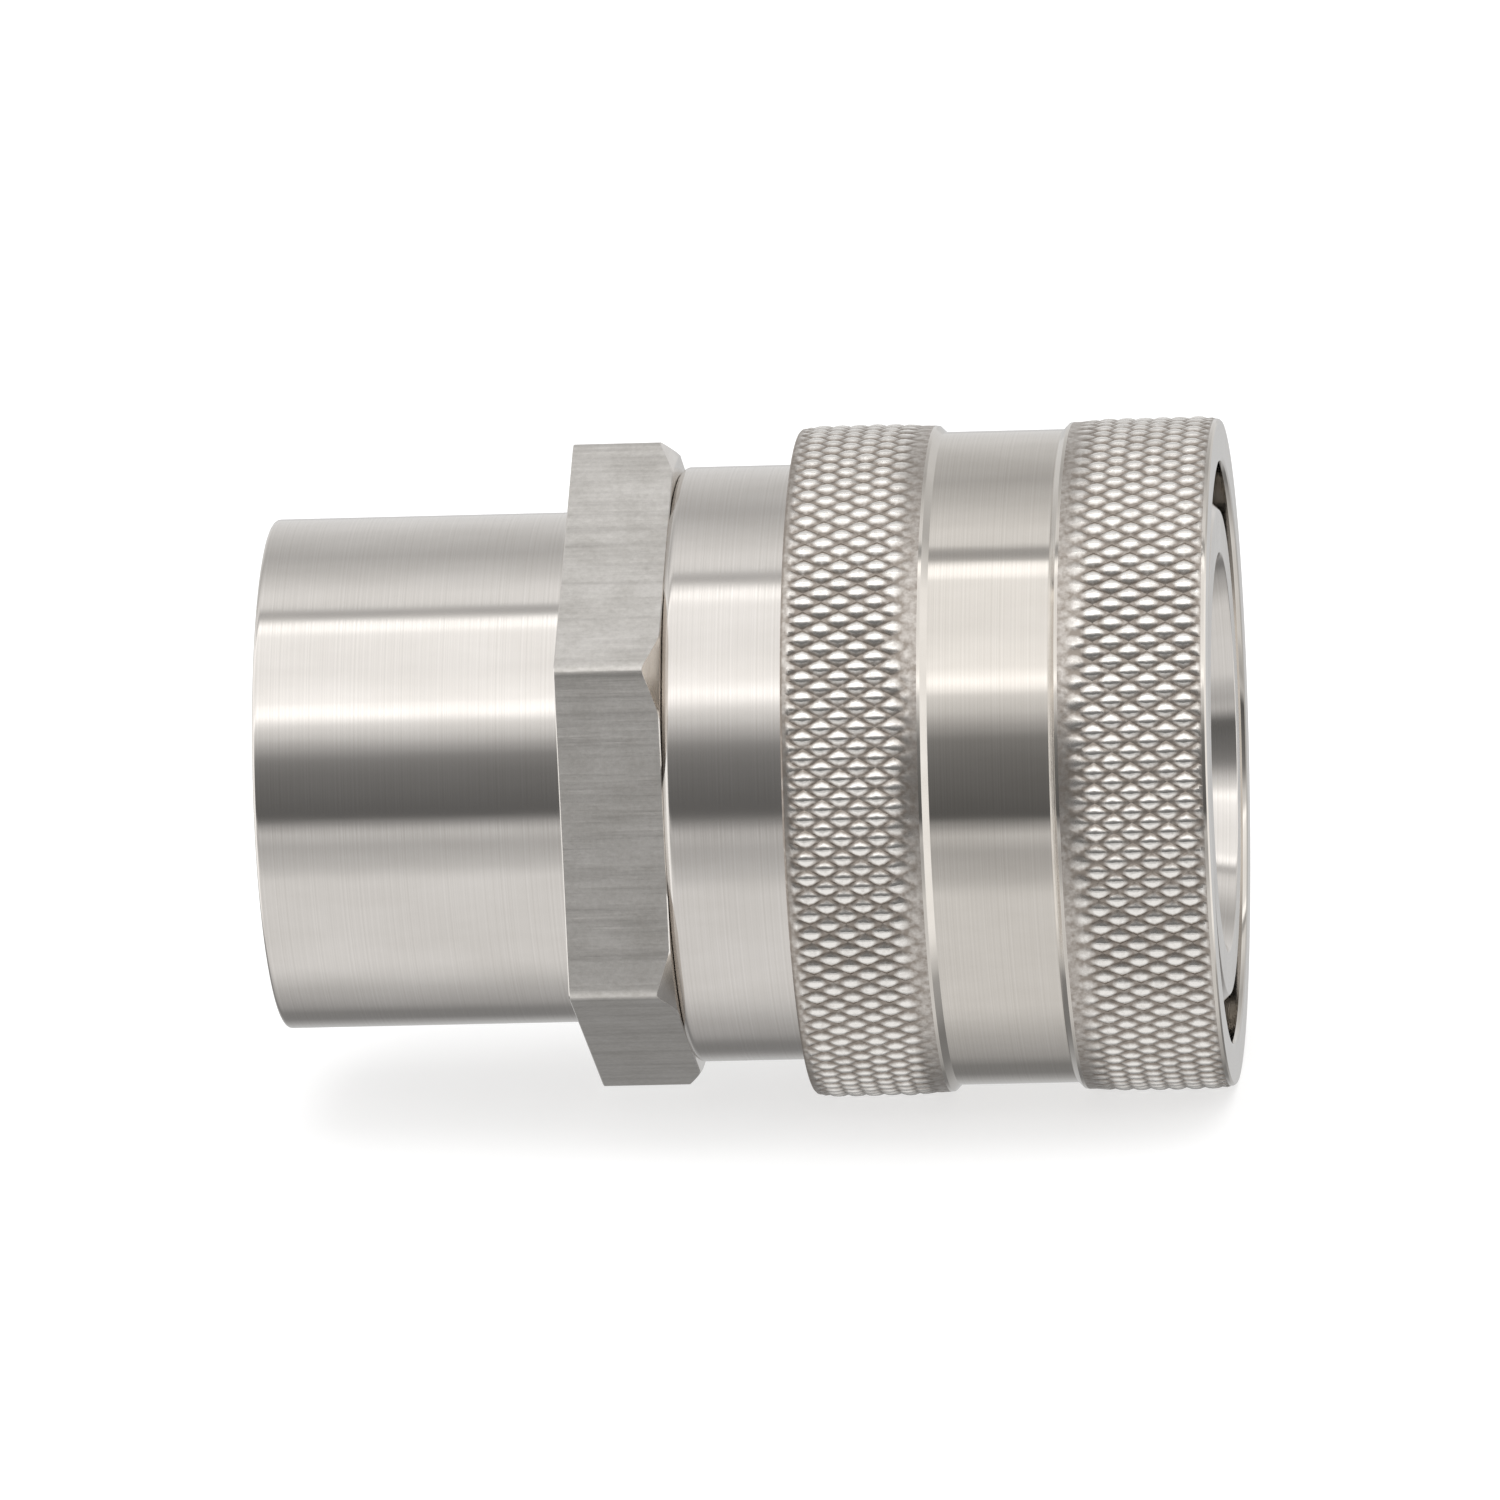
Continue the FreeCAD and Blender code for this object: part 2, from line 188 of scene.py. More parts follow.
def turnedMesh(name, corners, columns=192):
    # a closed profile turned once round the axis
    x, r = roundedPath(corners)
    faces = gridFaces(len(x), columns, True, True)
    return makeMesh(name, turnedPoints(x, r, wheel(columns)), [faces])


def drill(mesh, cutterPoints, cutterFaces):
    # take closed cutters away from a closed mesh and give back the new mesh
    cutterMesh = makeMesh("cutter", cutterPoints, cutterFaces)
    work = bpy.data.objects.new("work", mesh)
    cutter = bpy.data.objects.new("cutter", cutterMesh)
    for each in (work, cutter):
        bpy.context.scene.collection.objects.link(each)
    cut = work.modifiers.new("drill", "BOOLEAN")
    cut.operation = "DIFFERENCE"
    cut.solver = "MANIFOLD"
    cut.object = cutter
    graph = bpy.context.evaluated_depsgraph_get()
    result = bpy.data.meshes.new_from_object(work.evaluated_get(graph))
    if len(result.polygons) == len(mesh.polygons):
        raise RuntimeError("the drill took nothing away from " + mesh.name)
    result.materials.clear()
    for each in (work, cutter):
        bpy.data.objects.remove(each)
    bpy.data.meshes.remove(cutterMesh)
    shadeMesh(result)
    return result


def roundCutters(profile, places, columns=40):
    # Closed turned plugs for drilling, from a profile of (height, radius). Each stands on its own
    # axis, and places holds, for each, its foot and three right-handed axes:
    # point = foot + radius (cos a U + sin a V) + height W.
    angle = wheel(columns)
    heights, radii = np.array(profile, float).T
    ring = np.stack([radii[:, None] * np.cos(angle), radii[:, None] * np.sin(angle),
                     rowsOf(heights, columns)], axis=-1)
    poles = np.array([[0, 0, heights[0]], [0, 0, heights[-1]]])
    local = np.vstack([ring.reshape(-1, 3), poles])
    feet = np.array([place[0] for place in places], float)
    axes = np.array([place[1:] for place in places], float)
    points = feet[:, None] + np.einsum("pk,nkc->npc", local, axes)
    shift = (np.arange(len(places)) * len(local))[:, None, None]
    return points, [(faces + shift).reshape(-1, faces.shape[1])
                    for faces in poleFaces(len(heights), columns)]


# ---- materials

def newMaterial(name):
    material = bpy.data.materials.new(name)
    material.use_nodes = True
    material.node_tree.nodes.clear()
    return material, material.node_tree.nodes, material.node_tree.links


def addNode(nodes, kind, **settings):
    node = nodes.new(kind)
    for key, value in settings.items():
        setattr(node, key, value)
    return node


def mathNode(nodes, links, operation, first, second=None):
    # one operation on one or two values, each a number or another node's output
    node = addNode(nodes, "ShaderNodeMath", operation=operation)
    for number, value in enumerate((first, second)):
        if value is None:
            continue
        if isinstance(value, (int, float)):
            node.inputs[number].default_value = value
        else:
            links.new(value, node.inputs[number])
    return node.outputs[0]


def spread(nodes, links, value, low, high, toLow, toHigh):
    # map a value's range to another range, clamped
    node = addNode(nodes, "ShaderNodeMapRange")
    links.new(value, node.inputs["Value"])
    for key, number in (("From Min", low), ("From Max", high), ("To Min", toLow),
                        ("To Max", toHigh)):
        node.inputs[key].default_value = number
    return node.outputs["Result"]


def mixColours(nodes, links, factor, first, second):
    # from the first colour to the second; each is three numbers or another node's output
    node = addNode(nodes, "ShaderNodeMix", data_type="RGBA")
    links.new(factor, node.inputs[0])
    for number, colour in ((6, first), (7, second)):
        if isinstance(colour, tuple):
            node.inputs[number].default_value = (*colour, 1)
        else:
            links.new(colour, node.inputs[number])
    return node.outputs[2]


def weightedSum(nodes, links, *pairs):
    # each value times its share, or times another value, all added up
    total = None
    for value, share in pairs:
        part = mathNode(nodes, links, "MULTIPLY", value, share)
        total = part if total is None else mathNode(nodes, links, "ADD", total, part)
    return total


def objectPlace(nodes):
    return addNode(nodes, "ShaderNodeTexCoord").outputs["Object"]


def axisAndRadius(nodes, links, place):
    # how far along the axis a place is, and how far from it
    parts = addNode(nodes, "ShaderNodeSeparateXYZ")
    links.new(place, parts.inputs[0])
    y, z = parts.outputs["Y"], parts.outputs["Z"]
    squares = weightedSum(nodes, links, (y, y), (z, z))
    return parts.outputs["X"], mathNode(nodes, links, "SQRT", squares)


def acrossTheTurning(nodes, links, place):
    # the direction across the turning lines: the way round the axis, crossed with the normal
    aroundAxis = addNode(nodes, "ShaderNodeVectorMath", operation="CROSS_PRODUCT")
    aroundAxis.inputs[0].default_value = (1, 0, 0)
    links.new(place, aroundAxis.inputs[1])
    toWorld = addNode(nodes, "ShaderNodeVectorTransform", vector_type="VECTOR",
                      convert_from="OBJECT", convert_to="WORLD")
    links.new(aroundAxis.outputs[0], toWorld.inputs[0])
    across = addNode(nodes, "ShaderNodeVectorMath", operation="CROSS_PRODUCT")
    links.new(toWorld.outputs[0], across.inputs[0])
    links.new(addNode(nodes, "ShaderNodeNewGeometry").outputs["Normal"], across.inputs[1])
    level = addNode(nodes, "ShaderNodeVectorMath", operation="NORMALIZE")
    links.new(across.outputs[0], level.inputs[0])
    return level.outputs[0]


def noise(nodes, links, vector, scale, detail=3, roughness=0.55):
    node = addNode(nodes, "ShaderNodeTexNoise")
    links.new(vector, node.inputs["Vector"])
    node.inputs["Scale"].default_value = scale
    node.inputs["Detail"].default_value = detail
    node.inputs["Roughness"].default_value = roughness
    return node.outputs[0]


def lineNoise(nodes, links, value, scale, detail):
    node = addNode(nodes, "ShaderNodeTexNoise", noise_dimensions="1D")
    links.new(value, node.inputs["W"])
    node.inputs["Scale"].default_value = scale
    node.inputs["Detail"].default_value = detail
    return node.outputs[0]


def stretched(nodes, links, vector, scale):
    node = addNode(nodes, "ShaderNodeMapping")
    links.new(vector, node.inputs["Vector"])
    node.inputs["Scale"].default_value = scale
    return node.outputs[0]


def bump(nodes, links, height, distance):
    node = addNode(nodes, "ShaderNodeBump")
    links.new(height, node.inputs["Height"])
    node.inputs["Distance"].default_value = distance
    return node.outputs[0]


def finishMetal(nodes, links, colour, roughness, normal, anisotropy=0.0, tangent=None):
    shader = addNode(nodes, "ShaderNodeBsdfPrincipled")
    shader.inputs["Metallic"].default_value = 1.0
    shader.inputs["Anisotropic"].default_value = anisotropy
    links.new(colour, shader.inputs["Base Color"])
    links.new(roughness, shader.inputs["Roughness"])
    links.new(normal, shader.inputs["Normal"])
    if tangent is not None:
        links.new(tangent, shader.inputs["Tangent"])
    links.new(shader.outputs[0], addNode(nodes, "ShaderNodeOutputMaterial").inputs["Surface"])


adapterLook = {"bright": (0.755, 0.722, 0.688), "dull": (0.66, 0.627, 0.59), "smooth": 0.10,
               "rough": 0.17, "linesPerMetre": 9000, "anisotropy": 0.45}
bodyLook = {"bright": (0.735, 0.702, 0.67), "dull": (0.64, 0.607, 0.57), "smooth": 0.12,
            "rough": 0.20, "linesPerMetre": 9000, "anisotropy": 0.45}
sleeveLook = {"bright": (0.70, 0.662, 0.615), "dull": (0.60, 0.563, 0.517), "smooth": 0.06,
              "rough": 0.11, "linesPerMetre": 9000, "anisotropy": 0.35}


def turnedSteel(name, look):
    # Lathe-turned stainless steel: fine rings follow x plus the radius, so that they run round
    # both the cylinders and the end faces, soft clouds change the tone, and long shallow waves
    # along the axis unsettle the reflections.
    material, nodes, links = newMaterial(name)
    place = objectPlace(nodes)
    x, radius = axisAndRadius(nodes, links, place)
    along = mathNode(nodes, links, "ADD", x, radius)
    rings = lineNoise(nodes, links, along, look["linesPerMetre"], 4)
    clouds = noise(nodes, links, stretched(nodes, links, place, (1, 2.2, 2.2)), 190, 4)
    tone = weightedSum(nodes, links, (rings, 0.5), (clouds, 0.5))
    colour = mixColours(nodes, links, spread(nodes, links, tone, 0.3, 0.7, 0, 1),
                        look["dull"], look["bright"])
    roughness = spread(nodes, links, tone, 0.3, 0.7, look["rough"], look["smooth"])
    waves = noise(nodes, links, stretched(nodes, links, place, (0.1, 1, 1)), 620, 2)
    relief = weightedSum(nodes, links, (waves, 3.5), (rings, 1.0))
    finishMetal(nodes, links, colour, roughness, bump(nodes, links, relief, 0.000001),
                look["anisotropy"], acrossTheTurning(nodes, links, place))
    return material


flatLook = {"bright": (0.76, 0.733, 0.70), "dark": (0.56, 0.537, 0.503), "smooth": 0.32,
            "rough": 0.42, "scratch": 0.34, "scratchColour": (0.26, 0.243, 0.224)}


def drawnSteel(name, look):
    # The hexagon's flats as drawn: a fine mottled grain, and a few long scratches along the bar
    # where a stretched noise passes a threshold.
    material, nodes, links = newMaterial(name)
    place = objectPlace(nodes)
    streaks = noise(nodes, links, stretched(nodes, links, place, (0.5, 2.4, 2.4)), 1200, 4, 0.6)
    grain = noise(nodes, links, place, 3600, 4, 0.7)
    clouds = noise(nodes, links, place, 420, 3)
    tone = weightedSum(nodes, links, (streaks, 0.2), (grain, 0.4), (clouds, 0.4))
    lines = noise(nodes, links, stretched(nodes, links, place, (0.13, 3, 3)), 560, 3, 0.6)
    scratches = spread(nodes, links, lines, 0.46, 0.78, 0, look["scratch"])
    mottled = mixColours(nodes, links, spread(nodes, links, tone, 0.36, 0.62, 0, 1),
                         look["dark"], look["bright"])
    colour = mixColours(nodes, links, scratches, mottled, look["scratchColour"])
    roughness = spread(nodes, links, tone, 0.35, 0.65, look["rough"], look["smooth"])
    relief = mathNode(nodes, links, "SUBTRACT", tone, scratches)
    finishMetal(nodes, links, colour, roughness, bump(nodes, links, relief, 0.00002))
    return material


# the tip colour is worn metal lightened as a painted highlight; the valley colour is oxide
# darkened as painted shade
gripLook = {"tip": (0.96, 0.93, 0.89), "valley": (0.35, 0.307, 0.27), "smooth": 0.15,
            "rough": 0.42, "tipRadius": 17.44, "valleyRadius": 17.33}


def knurledSteel(name, look):
    # formed knurl by the distance from the axis: tips in worn bright metal plus a painted
    # highlight, valleys in oxide plus painted shade
    material, nodes, links = newMaterial(name)
    place = objectPlace(nodes)
    radius = axisAndRadius(nodes, links, place)[1]
    height = spread(nodes, links, radius, look["valleyRadius"] * mm, look["tipRadius"] * mm, 0, 1)
    grain = noise(nodes, links, place, 2600, 4, 0.65)
    # the mix runs from the valleys' oxide and painted shade to the tips' wear and painted
    # highlight
    wearAndPaintedLight = mathNode(nodes, links, "ADD", height,
                    spread(nodes, links, grain, 0.3, 0.7, -0.25, 0.25))
    colour = mixColours(nodes, links, spread(nodes, links, wearAndPaintedLight, 0, 1, 0, 1), look["valley"],
                        look["tip"])
    roughness = spread(nodes, links, wearAndPaintedLight, 0, 1, look["rough"], look["smooth"])
    finishMetal(nodes, links, colour, roughness, bump(nodes, links, grain, 0.00001))
    return material


def polishedSteel(name, bright, dull, roughness):
    # ground balls, spring wire and small inner pieces: faint clouds and a fine grain
    material, nodes, links = newMaterial(name)
    place = objectPlace(nodes)
    clouds = noise(nodes, links, place, 500, 4)
    grain = noise(nodes, links, place, 5000, 3)
    colour = mixColours(nodes, links, spread(nodes, links, clouds, 0.35, 0.65, 0, 1), dull, bright)
    rough = spread(nodes, links, grain, 0.3, 0.7, roughness * 0.75, roughness * 1.3)
    finishMetal(nodes, links, colour, rough, bump(nodes, links, grain, 0.000002))
    return material


def softMaterial(name, light, dark, roughness, grainScale, grainDepth):
    # rubber or fluoroplastic: a matt skin with a fine moulded grain and slow tone changes
    material, nodes, links = newMaterial(name)
    place = objectPlace(nodes)
    clouds = noise(nodes, links, place, 350, 3)
    grain = noise(nodes, links, place, grainScale, 4, 0.6)
    shader = addNode(nodes, "ShaderNodeBsdfPrincipled")
    colour = mixColours(nodes, links, spread(nodes, links, clouds, 0.35, 0.65, 0, 1), dark, light)
    links.new(colour, shader.inputs["Base Color"])
    rough = spread(nodes, links, grain, 0.3, 0.7, roughness * 0.85, roughness * 1.15)
    links.new(rough, shader.inputs["Roughness"])
    links.new(bump(nodes, links, grain, grainDepth), shader.inputs["Normal"])
    links.new(shader.outputs[0], addNode(nodes, "ShaderNodeOutputMaterial").inputs["Surface"])
    return material


adapterFinish = turnedSteel("adapterTurned", adapterLook)
bodyFinish = turnedSteel("bodyTurned", bodyLook)
sleeveFinish = turnedSteel("sleeveTurned", sleeveLook)
hexFinish = drawnSteel("hexDrawn", flatLook)
gripFinish = knurledSteel("gripKnurl", gripLook)
valveFinish = turnedSteel("valveTurned", bodyLook)
ballFinish = polishedSteel("ballGround", (0.78, 0.77, 0.76), (0.68, 0.67, 0.66), 0.07)
wireFinish = polishedSteel("springWire", (0.60, 0.58, 0.56), (0.46, 0.44, 0.42), 0.26)
ringFinish = polishedSteel("ringStamped", (0.50, 0.49, 0.47), (0.38, 0.37, 0.355), 0.32)
sealFinish = softMaterial("sealRubber", (0.030, 0.030, 0.031), (0.017, 0.017, 0.018), 0.5,
                          6000, 0.000004)
backupFinish = softMaterial("backupPlastic", (0.84, 0.82, 0.77), (0.74, 0.72, 0.67), 0.42,
                            4200, 0.000003)
print("materials made")


# ---- port adapter: neck, wrench hexagon, spigot and the threaded port

adapterShape = {"neckRadius": 13.3, "neckFoot": 13.2, "hexStart": 16.05, "hexEnd": 21.4,
                "halfFlats": 15.0, "cornerRadius": 17.23, "edge": 0.05, "coneEnd": 16.2,
                "coneSlope": 0.804, "spigotRadius": 12.4, "grooveStart": 25.0, "grooveEnd": 26.8,
                "grooveRadius": 11.0, "spigotEnd": 27.4, "chamberRadius": 9.6, "webStart": 16.0,
                "webEnd": 18.0, "webRadius": 7.6, "reliefStart": 14.0, "reliefRadius": 10.6,
                "mouth": 0.5, "threadMinor": 9.32, "threadDepth": 1.162, "threadPitch": 1.814,
                "threadFade": 0.9, "threadRows": 92, "columns": 288}


def hexAngles(columns):
    # even steps with extra ones close to the six corners, which stand at 30 + 60 n degrees
    corners = np.radians(30 + 60 * np.arange(6))
    extra = np.radians([-1.15, -0.8, -0.5, -0.25, 0.25, 0.5, 0.8, 1.15])
    angles = np.concatenate([wheel(columns), (corners[:, None] + extra).ravel() % fullTurn])
    return np.sort(angles)


def hexRadius(angles, halfFlats, cornerRadius, blend=17):
    # The smaller of the flat's distance, halfFlats over the cosine of the angle from the flat's
    # middle, and the corner radius, joined smoothly by a logarithm of summed exponentials.
    fromFlat = (angles + math.pi / 6) % (math.pi / 3) - math.pi / 6
    flatMore = halfFlats / np.cos(fromFlat) - halfFlats
    cornerMore = cornerRadius - halfFlats
    return halfFlats - np.log(np.exp(-blend * flatMore) + np.exp(-blend * cornerMore)) / blend


def makeAdapter(shape):
    # The outline's rows run from the port's mouth along the outside to the spigot's end and back
    # through the bore. A corner left out at the end of an open path only gives it a direction.
    angles = hexAngles(shape["columns"])
    columns = len(angles)
    hexLine = hexRadius(angles, shape["halfFlats"], shape["cornerRadius"])
    start, end, coneEnd, edge = shape["hexStart"], shape["hexEnd"], shape["coneEnd"], shape["edge"]
    minor, mouth, foot = shape["threadMinor"], shape["mouth"], shape["neckFoot"]

    # neck from the thread's mouth round the port face to the foot of the hexagon
    neckX, neckR = roundedPath([
        (mouth, minor, 0), (0.0, minor + mouth, 0.05), (0.0, shape["neckRadius"], 0.22),
        (start - 0.12, shape["neckRadius"], 0), (start, foot, 0)], closed=False)
    neckX, neckR = neckX[1:], neckR[1:]

    # hexagon: the left face, the flats, and a cone that cuts the corners on the right; the cone
    # starts where it meets the flat or corner at that angle
    faceShare = np.array([0.02, 0.5, 0.98])[:, None]
    faceX, faceR = np.full((3, columns), start), foot + faceShare * (hexLine - edge - foot)
    rimX, rimR = np.full((1, columns), start), (hexLine - edge)[None]
    coneStart = end - np.maximum(shape["coneSlope"] * (hexLine - coneEnd), 0.06)
    flatShare = np.array([0.0, 0.02, 0.25, 0.5, 0.75, 0.98, 1.0])[:, None]
    flatX = (start + edge) * (1 - flatShare) + coneStart * flatShare
    flatR = np.broadcast_to(hexLine, flatX.shape)
    coneShare = np.array([0.03, 0.34, 0.67, 0.97])[:, None]
    coneFoot = np.minimum(hexLine - 0.05, coneEnd)
    coneX = coneStart * (1 - coneShare) + end * coneShare
    coneR = hexLine * (1 - coneShare) + coneFoot * coneShare
    backShare = np.array([0.0, 0.005, 0.5])[:, None]
    spigot = shape["spigotRadius"]
    backX = np.full((3, columns), end)
    backR = coneFoot * (1 - backShare) + (spigot + 0.1) * backShare

    # spigot, seal groove and inner chamber back to the run-out of the thread
    innerX, innerR = roundedPath([
        (end, spigot + 1, 0), (end, spigot, 0), (shape["grooveStart"], spigot, 0.08),
        (shape["grooveStart"], shape["grooveRadius"], 0.15),
        (shape["grooveEnd"], shape["grooveRadius"], 0.15), (shape["grooveEnd"], spigot, 0.08),
        (shape["spigotEnd"], spigot, 0.28), (shape["spigotEnd"], shape["chamberRadius"], 0.1),
        (shape["webEnd"], shape["chamberRadius"], 0.2), (shape["webEnd"], shape["webRadius"], 0.1),
        (shape["webStart"], shape["webRadius"], 0.1),
        (shape["webStart"], shape["reliefRadius"], 0.3),
        (shape["reliefStart"] + 0.05, shape["reliefRadius"], 0.3),
        (shape["reliefStart"] - 0.02, minor, 0)], closed=False, steps=3)
    innerX, innerR = innerX[1:-1], innerR[1:-1]

    # thread: a rounded V wound along the bore, faded in at the mouth and out in the run-out
    stationX = np.linspace(shape["reliefStart"] - 0.05, mouth, shape["threadRows"])[:, None]
    phase = (stationX / shape["threadPitch"] - angles / fullTurn) % 1
    ridge = np.clip((np.abs(2 * phase - 1) - 0.1) / 0.8, 0, 1)
    form = ridge * ridge * (3 - 2 * ridge)
    fadeIn = np.clip((stationX - mouth + 0.05) / shape["threadFade"], 0, 1)
    fadeOut = np.clip((shape["reliefStart"] + 0.6 - stationX) / shape["threadFade"], 0, 1)
    threadR = minor + shape["threadDepth"] * form * fadeIn * fadeOut
    threadX = np.broadcast_to(stationX, threadR.shape)

    sections = [(rowsOf(neckX, columns), rowsOf(neckR, columns), 0), (faceX, faceR, 0),
                (rimX, rimR, 0), (flatX, flatR, 1), (coneX, coneR, 0), (backX, backR, 0),
                (rowsOf(innerX, columns), rowsOf(innerR, columns), 0), (threadX, threadR, 0)]
    x, r, rowFinish = stackSections(sections)
    mesh = makeMesh("portAdapter", turnedPoints(x, r, angles),
                    [gridFaces(len(x), columns, True, True)], np.repeat(rowFinish, columns))
    placePiece("portAdapter", mesh, [adapterFinish, hexFinish], "body",
               ["port_adapter"])


makeAdapter(adapterShape)
print("port adapter made")


# ---- socket body: plain cylinder, nose, plug bore, seat and ball holes

bodyShape = {"start": 21.4, "spigotBore": 12.45, "radius": 15.5, "bevel": 0.3, "shoulder": 29.5,
             "noseRadius": 13.0, "noseEnd": 49.3, "noseBevel": 0.4, "ringStart": 46.45,
             "ringEnd": 47.5, "ringRadius": 12.2, "bore": 10.0, "leadRadius": 10.4,
             "leadLength": 1.5, "reliefRadius": 10.2, "reliefHalf": 2.3, "sealStart": 33.0,
             "sealEnd": 36.4, "sealRadius": 11.6, "plugStop": 30.9, "throatStart": 30.3,
             "throat": 6.1, "seatMouth": 8.8, "innerShoulder": 27.6, "ballRow": 42.3, "balls": 12,
             "columns": 240}
# a ball hole's height from the axis and its radius there: narrower at the foot so that the ball
# can't fall through, and opened a little where it comes out
ballHole = [(9.2, 1.89), (10.19, 1.89), (10.7, 2.05), (12.85, 2.05), (13.02, 2.19), (13.6, 2.19)]


def makeSocketBody(shape):
    # one outline turned round the axis, with a radial hole drilled for each ball
    start, bore = shape["start"], shape["bore"]
    nose, noseEnd = shape["noseRadius"], shape["noseEnd"]
    ringStart, ringEnd, ring = shape["ringStart"], shape["ringEnd"], shape["ringRadius"]
    row, half, ramp, relief = shape["ballRow"], shape["reliefHalf"], 0.15, shape["reliefRadius"]
    sealStart, sealEnd, seal = shape["sealStart"], shape["sealEnd"], shape["sealRadius"]
    throat, inner = shape["throat"], shape["innerShoulder"]
    mesh = turnedMesh("socketBody", [
        (start, shape["spigotBore"], 0.1), (start, shape["radius"] - shape["bevel"], 0.2),
        (start + shape["bevel"], shape["radius"], 0.4), (shape["shoulder"], shape["radius"], 0.12),
        (shape["shoulder"], nose, 0.15), (ringStart, nose, 0.05), (ringStart, ring, 0.08),
        (ringEnd, ring, 0.08), (ringEnd, nose, 0.05), (noseEnd - shape["noseBevel"], nose, 0.1),
        (noseEnd, nose - shape["noseBevel"], 0.1), (noseEnd, shape["leadRadius"], 0.06),
        (noseEnd - shape["leadLength"], bore, 0.3), (row + half, bore, 0),
        (row + half - ramp, relief, 0), (row - half + ramp, relief, 0), (row - half, bore, 0),
        (sealEnd, bore, 0.1), (sealEnd, seal, 0.2), (sealStart, seal, 0.2), (sealStart, bore, 0.1),
        (shape["plugStop"], bore, 0.2), (shape["plugStop"], throat, 0.12),
        (shape["throatStart"], throat, 0.1), (inner, shape["seatMouth"], 0.1),
        (inner, shape["spigotBore"], 0.15)], shape["columns"])
    places = [((row, 0, 0), (0, -math.sin(a), math.cos(a)), (1, 0, 0),
               (0, math.cos(a), math.sin(a))) for a in wheel(shape["balls"])]
    points, faceSets = roundCutters(ballHole, places, 48)
    placePiece("socketBody", drill(mesh, points, faceSets), [bodyFinish], "body",
               ["socket_body"])


makeSocketBody(bodyShape)
print("socket body made")


# ---- sleeve: two knurled grip bands, plain groove, ball land and release pocket

sleeveShape = {"start": 27.7, "end": 49.5, "radius": 17.5, "grooveRadius": 17.0,
               "grooveStart": 35.2, "grooveEnd": 41.4, "bore": 15.6, "landStart": 40.0,
               "landEnd": 42.9, "land": 13.15, "release": 14.2, "stopStep": 46.42,
               "counterbore": 15.1, "edge": 0.25}
knurlShape = {"around": 104, "period": 1.86, "depth": 0.21, "power": 0.9, "halfLength": 0.36,
              "flatTop": 1.7, "stepsPerTooth": 8, "uneven": 0.14, "plainLevel": 0.3,
              "outerFade": 0.35, "grooveFade": 2.0}


def knurlDepth(x, angles, knurl, fade):
    # Two families of grooves cross, at whole numbers of (teeth round + periods along) and (teeth
    # round - periods along). A tooth's height is the product of the sines of half a turn per
    # groove, to a power, times a bell that shortens it along the axis, so its top is a round dot,
    # and one minus a power of what is missing flattens that top. Each tooth is worn down by its
    # own share, the fraction left of a large multiple of a sine, which looks like chance.
    # Towards a band's ends the teeth fade to a plain level.
    around = angles / fullTurn * knurl["around"]
    along = x / knurl["period"]
    first, second = around + along, around - along
    swell = np.abs(np.sin(math.pi * first) * np.sin(math.pi * second)) ** knurl["power"]
    fromMiddle = ((first - np.floor(first)) - (second - np.floor(second))) / 2
    swell = swell * np.exp(-(fromMiddle / knurl["halfLength"]) ** 2)
    swell = 1 - (1 - swell) ** knurl["flatTop"]
    row, column = np.floor(first), np.floor(second + knurl["around"]) % knurl["around"]
    chance = np.modf(np.abs(np.sin(row % knurl["around"] * 12.99 + column * 78.23)) * 43758.5)[0]
    height = swell * (1 - knurl["uneven"] * chance ** 2)
    level = height * fade + knurl["plainLevel"] * (1 - fade)
    return knurl["depth"] * (1 - level)


def bandStations(low, high, edge, knurl):
    # rows of a grip band: the lattice's own rows inside, and three more on each chamfer
    step, nearest = knurl["period"] / knurl["stepsPerTooth"], 0.09
    inside = np.arange(math.ceil(low / step), math.floor(high / step) + 1) * step
    inside = inside[(inside > low + nearest) & (inside < high - nearest)]
    slope = np.linspace(0, 1, 4)[:-1]
    return np.concatenate([low - edge[0] * (1 - slope), [low], inside, [high],
                           high + edge[1] * (1 - slope[::-1])])


def bandRadius(stations, angles, low, high, fades, radius, knurl):
    # the band's plain radius, less at its two chamfers, or the knurl wherever that lies deeper
    plain = radius - np.maximum(low - stations, 0) - np.maximum(stations - high, 0)
    fade = np.clip((stations - low) / fades[0], 0, 1) * np.clip((high - stations) / fades[1], 0, 1)
    fade = (fade * fade * (3 - 2 * fade))[:, None]
    return np.minimum(plain[:, None], radius - knurlDepth(stations[:, None], angles, knurl, fade))


